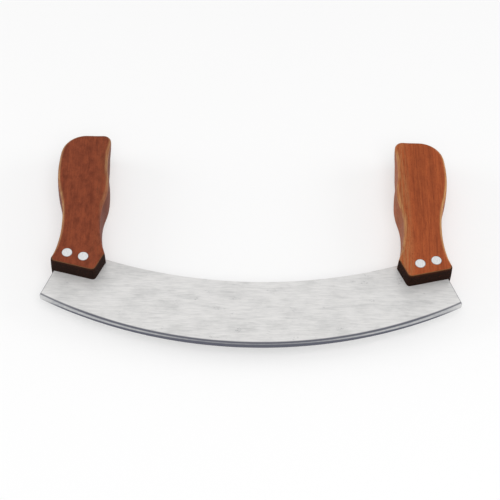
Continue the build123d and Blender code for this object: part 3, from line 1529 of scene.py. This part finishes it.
    def inset(self, contour: np.ndarray, inset: float, foot_inset: float, lean: float) -> np.ndarray:
        """The handle's side and top at one level, with a rounding that fades towards the foot.

        Args:
            contour: The side and top in the middle plane.
            inset: How far the level lies inside it, away from the foot.
            foot_inset: How far the level lies inside it at the foot.
            lean: How far the level stands out at the inner top corner.

        Returns:
            The line.
        """
        run = headings(contour)
        steps = np.concatenate([[0.0], np.cumsum(np.linalg.norm(np.diff(contour, axis=0), axis=1))])
        to_inner = (steps - self.overrun) / self.fade
        to_outer = (steps[-1] - self.overrun - steps) / self.fade
        share = np.clip(np.minimum(to_inner, to_outer), 0.0, 1.0)
        share = share * share * (3 - 2 * share)
        corner = np.argmax(contour[:, 1] - contour[:, 0])
        low = foot_inset + (inset - foot_inset) * self.fade_floor
        from_corner = (steps - steps[corner] + self.corner_drop) / self.corner_reach
        depth = low + (inset - low) * share - lean * np.exp(-(from_corner**2))
        return contour + depth[:, None] * np.stack([run[:, 1], -run[:, 0]], axis=1)

    def ring(
        self, contour: np.ndarray, inset: float, foot_inset: float, lean: float
    ) -> tuple[np.ndarray, np.ndarray]:
        """The handle's outline at one level, clockwise as seen from the front.

        Args:
            contour: The handle's side and top in the middle plane.
            inset: How far the level lies inside it.
            foot_inset: How far the level lies inside the foot and the cut.
            lean: How far the level stands out at the inner top corner.

        Returns:
            The points, and for each how much end grain shows on the run after it, from 0 to 1.
        """
        side = self.inset(contour, inset, foot_inset, lean)
        corner = np.array(self.layout.foot_spot(-self.foot_width / 2, 0))
        slope, slant = math.radians(self.layout.foot_slope), math.radians(self.cut_slant)
        foot_run = np.array([-math.cos(slope), -math.sin(slope)])
        cut_run = np.array([-math.sin(slant), math.cos(slant)])
        reach = self.line_reach * np.linspace(-1, 1, self.line_points)[:, None]
        foot = shifted(corner + foot_run * reach, foot_inset)
        cut = shifted(corner + cut_run * reach, foot_inset)
        early = side[: self.end_points]
        late = len(side) - self.end_points
        outer_radius = self.outer_foot_rounding - foot_inset
        inner_radius = self.inner_foot_rounding - foot_inset
        off_cut, on_side, cut_arc = rounded(cut, early, self.cut_top_rounding, self.cut_steps)
        off_side, on_foot, outer_arc = rounded(side[late:], foot, outer_radius, self.foot_steps)
        off_side += late
        off_foot, on_cut, inner_arc = rounded(foot, cut, inner_radius, self.foot_steps)
        pieces = [
            (along(side, np.linspace(on_side, off_side, self.side_points)), False),
            (outer_arc, True),
            (along(foot, np.linspace(on_foot, off_foot, self.foot_points)), True),
            (inner_arc, True),
            (along(cut, np.linspace(on_cut, off_cut, self.cut_points)), True),
            (cut_arc, False),
        ]
        points = np.concatenate([part for part, _ in pieces])
        across = self.top_end_grain * headings(points)[:, 0] ** 2 * (points[:, 1] > 0)
        is_foot = np.concatenate([np.full(len(part), foot_cut) for part, foot_cut in pieces])
        return points, np.where(is_foot, 1.0, across)

    def shape(self) -> bpy.types.Mesh:
        """The handle's solid, before the slot and the rivet holes.

        Returns:
            Its mesh, with the end attribute: 1 on the foot and the cut, and part of that on the top.
        """
        contour = self.contour()
        levels = self.levels()
        middle_z = self.layout.middle_z
        sections = [(-height, inset, foot) for height, inset, foot in reversed(levels)] + levels[1:]
        vertices = []
        for height, inset, foot in sections:
            points, ends = self.ring(contour, inset, foot, self.corner_lean * height / middle_z)
            vertices += [(self.side.value * x * MM, y * MM, (middle_z + height) * MM) for x, y in points]
        count = len(points)
        faces, end_faces = [], []
        for level in range(len(sections) - 1):
            for index in range(count):
                after = (index + 1) % count
                low, high = level * count, (level + 1) * count
                faces.append((low + index, high + index, high + after, low + after))
                end_faces.append(float(ends[index]))
        top = (len(sections) - 1) * count
        faces.append(tuple(range(count)))
        faces.append(tuple(range(top + count - 1, top - 1, -1)))
        end_faces += [0.0, 0.0]
        if self.side is Side.LEFT:
            faces = [face[::-1] for face in faces]
        mesh = bpy.data.meshes.new(self.name)
        mesh.from_pydata(vertices, [], faces)
        mesh.attributes.new("end", "FLOAT", "FACE").data.foreach_set("value", end_faces)
        mesh.shade_smooth()
        mesh.validate()
        return mesh

    def slot_cutter(self) -> bpy.types.Mesh:
        """A slab where the slot for the tang is.

        Returns:
            Its mesh.
        """
        layout = self.layout
        reach = layout.tang_width / 2 + layout.slot_play
        low, high = layout.tang_x - reach, layout.tang_x + reach
        bottom = layout.foot_y - self.slot_overrun
        top = layout.foot_y + layout.tang_rise + layout.slot_play
        outline = [(low, bottom), (high, bottom), (high, top), (low, top)]
        half = layout.sheet_thickness / 2 + layout.glue_line
        return self.prism("slot", outline, layout.middle_z - half, layout.middle_z + half)

    def seat_cutter(self) -> bpy.types.Mesh:
        """Cylinders where the rivets go through, with a seat for a head at each end.

        Returns:
            Their mesh.
        """
        seat = self.layout.head_radius + self.layout.seat_play
        hole = self.layout.hole_radius
        over = self.seat_overrun
        back = self.layout.head_thickness
        front = self.layout.handle_thickness - back
        end = self.layout.handle_thickness + over
        profile = [(seat, -over), (seat, back), (hole, back), (hole, front), (seat, front), (seat, end)]
        vertices, faces = [], []
        sides = self.seat_points
        for place in (-1, 1):
            x, y = self.layout.rivets.spot(self.side.value, place)
            base = len(vertices)
            for radius, height in profile:
                for index in range(sides):
                    angle = 2 * math.pi * index / sides
                    spot = (x + radius * math.cos(angle), y + radius * math.sin(angle), height)
                    vertices.append(tuple(part * MM for part in spot))
            for level in range(len(profile) - 1):
                low, high = base + level * sides, base + (level + 1) * sides
                for index in range(sides):
                    after = (index + 1) % sides
                    faces.append((low + index, low + after, high + after, high + index))
            last = base + (len(profile) - 1) * sides
            faces.append(tuple(range(base + sides - 1, base - 1, -1)))
            faces.append(tuple(range(last, last + sides)))
        mesh = bpy.data.meshes.new("seats")
        mesh.from_pydata(vertices, [], faces)
        return mesh

    def prism(self, name: str, outline: Sequence[Point], low: float, high: float) -> bpy.types.Mesh:
        """A prism on this handle's side of the blade.

        Args:
            name: The mesh's name.
            outline: Its outline on the right-hand side, counter-clockwise.
            low: Z of its bottom.
            high: Z of its top.

        Returns:
            Its mesh.
        """
        count = len(outline)
        vertices = [(self.side.value * x * MM, y * MM, z * MM) for z in (low, high) for x, y in outline]
        faces = [tuple(reversed(range(count))), tuple(range(count, 2 * count))]
        faces += [(i, (i + 1) % count, count + (i + 1) % count, count + i) for i in range(count)]
        if self.side is Side.LEFT:
            faces = [face[::-1] for face in faces]
        mesh = bpy.data.meshes.new(name)
        mesh.from_pydata(vertices, [], faces)
        return mesh


# Rivets


@dataclass
class Rivets:
    """Four two-piece rivets: studs pressed from the front into the tubes of sockets from the back."""

    layout: Layout
    rim_rounding: float = 0.14
    # Pairs of inset and depth, in parts of the rounding
    rim_profile: tuple[Point, ...] = ((2.0, 0.0), (0.6, 0.25), (0.0, 1.0))
    tube_length: float = 19.0
    bore_depth: float = 19.8
    stem_radius: float = 1.3
    stem_length: float = 16.0
    stem_lead: float = 0.3
    sides: int = 56
    crisp_angle: float = 40.0

    def build(self) -> list[bpy.types.Object]:
        """Makes the studs and the sockets.

        Returns:
            The two pieces.
        """
        metal = RivetMetal("rivet_metal").make()
        front = self.layout.handle_thickness
        places = [f"{side}_{place}" for side in ("left", "right") for place in ("inner", "outer")]
        pieces = []
        for kind, profile in (("stud", self.stud_profile), ("socket", self.socket_profile)):
            recipe = Recipe(f"rivet_{kind}s")
            rivet = self.lathe(recipe, profile(recipe))
            if kind == "stud":
                rivet = recipe.moved(rivet, (0, 0, front * MM), (math.pi, 0, 0))
            rivets = recipe.stand_on(recipe.rivet_points(self.layout.rivets), rivet)
            piece = recipe.bake(f"rivet_{kind}s", recipe.crisp(rivets, self.crisp_angle), metal)
            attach(piece, "root")
            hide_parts(*(f"{place}_rivet_{kind}" for place in places))
            pieces.append(piece)
        return pieces

    def head(self, recipe: Recipe) -> list[tuple[Number, Number]]:
        """The profile of a rivet's head, from the middle of its face to its rim.

        Args:
            recipe: The rivet's tree.

        Returns:
            Pairs of radius and height, with the face at height 0.
        """
        radius = recipe.size("Head Radius", self.layout.head_radius * MM)
        thickness = recipe.size("Head Thickness", self.layout.head_thickness * MM)
        soft = recipe.size("Rim Rounding", self.rim_rounding * MM)
        rim = [(radius - soft * inset, soft * depth) for inset, depth in self.rim_profile]
        return [(0.0, 0.0), *rim, (radius, thickness)]

    def stud_profile(self, recipe: Recipe) -> list[tuple[Number, Number]]:
        """The profile of a stud: its head and its stem.

        Args:
            recipe: The studs' tree.

        Returns:
            Pairs of radius and height.
        """
        head = self.head(recipe)
        thickness = head[-1][1]
        radius = recipe.size("Stem Radius", self.stem_radius * MM)
        end = recipe.size("Stem Length", self.stem_length * MM) + thickness
        lead = recipe.size("Stem Lead", self.stem_lead * MM)
        return head + [(radius, thickness), (radius, end - lead), (radius - lead, end), (0.0, end)]

    def socket_profile(self, recipe: Recipe) -> list[tuple[Number, Number]]:
        """The profile of a socket: its head, its tube and the bore of the tube.

        Args:
            recipe: The sockets' tree.

        Returns:
            Pairs of radius and height.
        """
        head = self.head(recipe)
        thickness = head[-1][1]
        tube = recipe.size("Tube Radius", self.layout.tube_radius * MM)
        bore = recipe.size("Bore Radius", self.stem_radius * MM)
        end = recipe.size("Tube Length", self.tube_length * MM) + thickness
        floor = end - recipe.size("Bore Depth", self.bore_depth * MM)
        return head + [(tube, thickness), (tube, end), (bore, end), (bore, floor), (0.0, floor)]

    def lathe(self, recipe: Recipe, profile: Sequence[tuple[Number, Number]]) -> Value:
        """Turns a profile about the Z axis.

        Args:
            recipe: The rivet's tree.
            profile: Pairs of radius and height.

        Returns:
            A closed mesh, with the rim attribute that grows from 0 at the axis to 1 at the head's rim.
        """
        sides = recipe.size("Sides", self.sides)
        bands = []
        for (low_radius, low), (high_radius, high) in zip(profile, profile[1:]):
            sizes = {"Radius Bottom": low_radius, "Radius Top": high_radius, "Depth": high - low}
            band = recipe.add(
                "GeometryNodeMeshCone", {"fill_type": "NONE"}, {"Vertices": sides, **sizes}, "Mesh"
            )
            bands.append(recipe.moved(band, recipe.vector(0.0, 0.0, low)))
        solid = recipe.merged(recipe.joined(*bands))
        x, y, _ = recipe.parts(recipe.add("GeometryNodeInputPosition"))
        rim = (x * x + y * y).root() / (self.layout.head_radius * MM)
        return recipe.add(
            "GeometryNodeStoreNamedAttribute",
            {"data_type": "FLOAT", "domain": "POINT"},
            {"Geometry": solid, "Name": "rim", "Value": rim},
        )


# Studio


@dataclass(frozen=True)
class Lamp:
    """A large soft lamp that points at the knife, in metres and watts."""

    name: str
    place: tuple[float, float, float]
    size: float
    power: float

    def add(self) -> None:
        """Hangs the lamp, out of sight of reflections."""
        data = bpy.data.lights.new(self.name, "AREA")
        data.size, data.energy = self.size, self.power
        lamp = bpy.data.objects.new(self.name, data)
        lamp.location = self.place
        lamp.rotation_euler = (-Vector(self.place)).to_track_quat("-Z", "Y").to_euler()
        lamp.visible_glossy = False
        bpy.context.scene.collection.objects.link(lamp)


@dataclass
class Studio:
    """The camera, the pale floor and the soft light, in metres and degrees."""

    camera_place: tuple[float, float, float] = (-0.012901, -0.514465, 0.715262)
    camera_turn: tuple[float, float, float] = (35.9004, -1.3647, 0.5476)
    lens: float = 108.127
    sensor: float = 36.0
    near_limit: float = 0.02
    floor_size: float = 8.0
    floor_gap: float = 0.05
    floor_colour: Colour = (0.95, 0.95, 0.95)
    floor_lift: float = 0.45
    world_strength: float = 0.45
    lamps: tuple[Lamp, ...] = (
        Lamp("front", (0.15, -0.75, 1.35), 1.1, 10.2),
        Lamp("overhead", (-0.2, -0.1, 1.6), 1.8, 3.5),
        Lamp("left", (-1.3, 0.15, 0.5), 0.7, 4.5),
        Lamp("right", (1.3, 0.15, 0.5), 0.7, 4.5),
    )

    def build(self) -> None:
        """Sets up the camera, the world, the lamps and the floor."""
        scene = bpy.context.scene
        scene.view_settings.view_transform = "Standard"
        self.add_camera(scene)
        self.add_world(scene)
        for lamp in self.lamps:
            lamp.add()
        self.add_floor()

    def add_camera(self, scene: bpy.types.Scene) -> None:
        """Puts the camera where the photograph was taken from.

        Args:
            scene: The scene that is looked at.
        """
        data = bpy.data.cameras.new("camera")
        data.lens, data.sensor_width, data.sensor_fit = self.lens, self.sensor, "HORIZONTAL"
        data.clip_start = self.near_limit
        camera = bpy.data.objects.new("camera", data)
        camera.location = self.camera_place
        camera.rotation_euler = Euler([math.radians(part) for part in self.camera_turn], "XYZ")
        scene.collection.objects.link(camera)
        scene.camera = camera

    def add_world(self, scene: bpy.types.Scene) -> None:
        """Surrounds the knife with soft white light, seen as plain white.

        Args:
            scene: The scene that is lit.
        """
        world = bpy.data.worlds.new("world")
        world.use_nodes = True
        world.node_tree.nodes.clear()
        tree = Tree(world.node_tree)
        rays = ("Camera", "Glossy", "Transmission")
        camera, glossy, through = (tree.add("ShaderNodeLightPath", output=f"Is {ray} Ray") for ray in rays)
        seen = camera.most(glossy).most(through)
        strength = self.world_strength + seen * (1.0 - self.world_strength)
        light = tree.add("ShaderNodeBackground", inputs={"Color": (1, 1, 1, 1), "Strength": strength})
        tree.node("ShaderNodeOutputWorld", inputs={"Surface": light})
        scene.world = world

    def add_floor(self) -> None:
        """Lays the pale floor under the knife."""
        half, low = self.floor_size / 2, -self.floor_gap * MM
        mesh = bpy.data.meshes.new("floor")
        corners = [(-half, -half, low), (half, -half, low), (half, half, low), (-half, half, low)]
        mesh.from_pydata(corners, [], [(0, 1, 2, 3)])
        tree = Shading("floor_paint")
        seen = tree.add("ShaderNodeLightPath", output="Is Camera Ray")
        paint = tree.add("ShaderNodeBsdfDiffuse", inputs={"Color": (*self.floor_colour, 1.0)})
        white = tree.add("ShaderNodeEmission", inputs={"Color": (1, 1, 1, 1), "Strength": 1.0})
        mixed = tree.add("ShaderNodeMixShader", inputs={0: seen * self.floor_lift, 1: paint, 2: white})
        tree.node("ShaderNodeOutputMaterial", inputs={"Surface": mixed})
        mesh.materials.append(tree.material)
        add_object("floor", mesh)


def main() -> None:
    """Builds the knife and the studio in order."""
    logging.basicConfig(level=logging.INFO, format="%(message)s")
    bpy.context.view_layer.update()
    layout = Layout()
    # Each wood's end colour and side strength carry painted shade, and its pale colour and inner strength
    # painted highlights
    left_wood = Wood(
        "left_handle_wood",
        face=(0.232, 0.056, 0.0262),
        streak=(0.107, 0.0245, 0.0125),
        warm=(0.32, 0.079, 0.032),
        pale=(0.50, 0.29, 0.13),
        end=(0.014, 0.007, 0.005),
        streak_strength=0.2,
        figure_strength=0.65,
        line_strength=0.15,
        sap_strength=0.04,
        side_shade_strength=0.6,
        inner_highlight_strength=0.46,
        inner_highlight_start=8.0,
        seed=3.0,
    )
    right_wood = Wood(
        "right_handle_wood",
        face=(0.368, 0.085, 0.029),
        streak=(0.16, 0.035, 0.0145),
        warm=(0.46, 0.133, 0.041),
        pale=(0.62, 0.37, 0.15),
        end=(0.012, 0.005, 0.003),
        streak_strength=0.45,
        figure_strength=0.3,
        line_strength=0.45,
        sap_strength=0.22,
        side_shade_strength=0.15,
        inner_highlight_strength=0.35,
        inner_highlight_start=-40.0,
        seed=11.0,
    )
    pieces = [Blade(layout).build()]
    pieces += [Handle(layout, Side.LEFT, left_wood).build(), Handle(layout, Side.RIGHT, right_wood).build()]
    pieces += Rivets(layout).build()
    for piece in pieces:
        LOG.info("%s: %d faces", piece.name, len(piece.data.polygons))
    Studio().build()


if __name__ == "__main__":
    main()
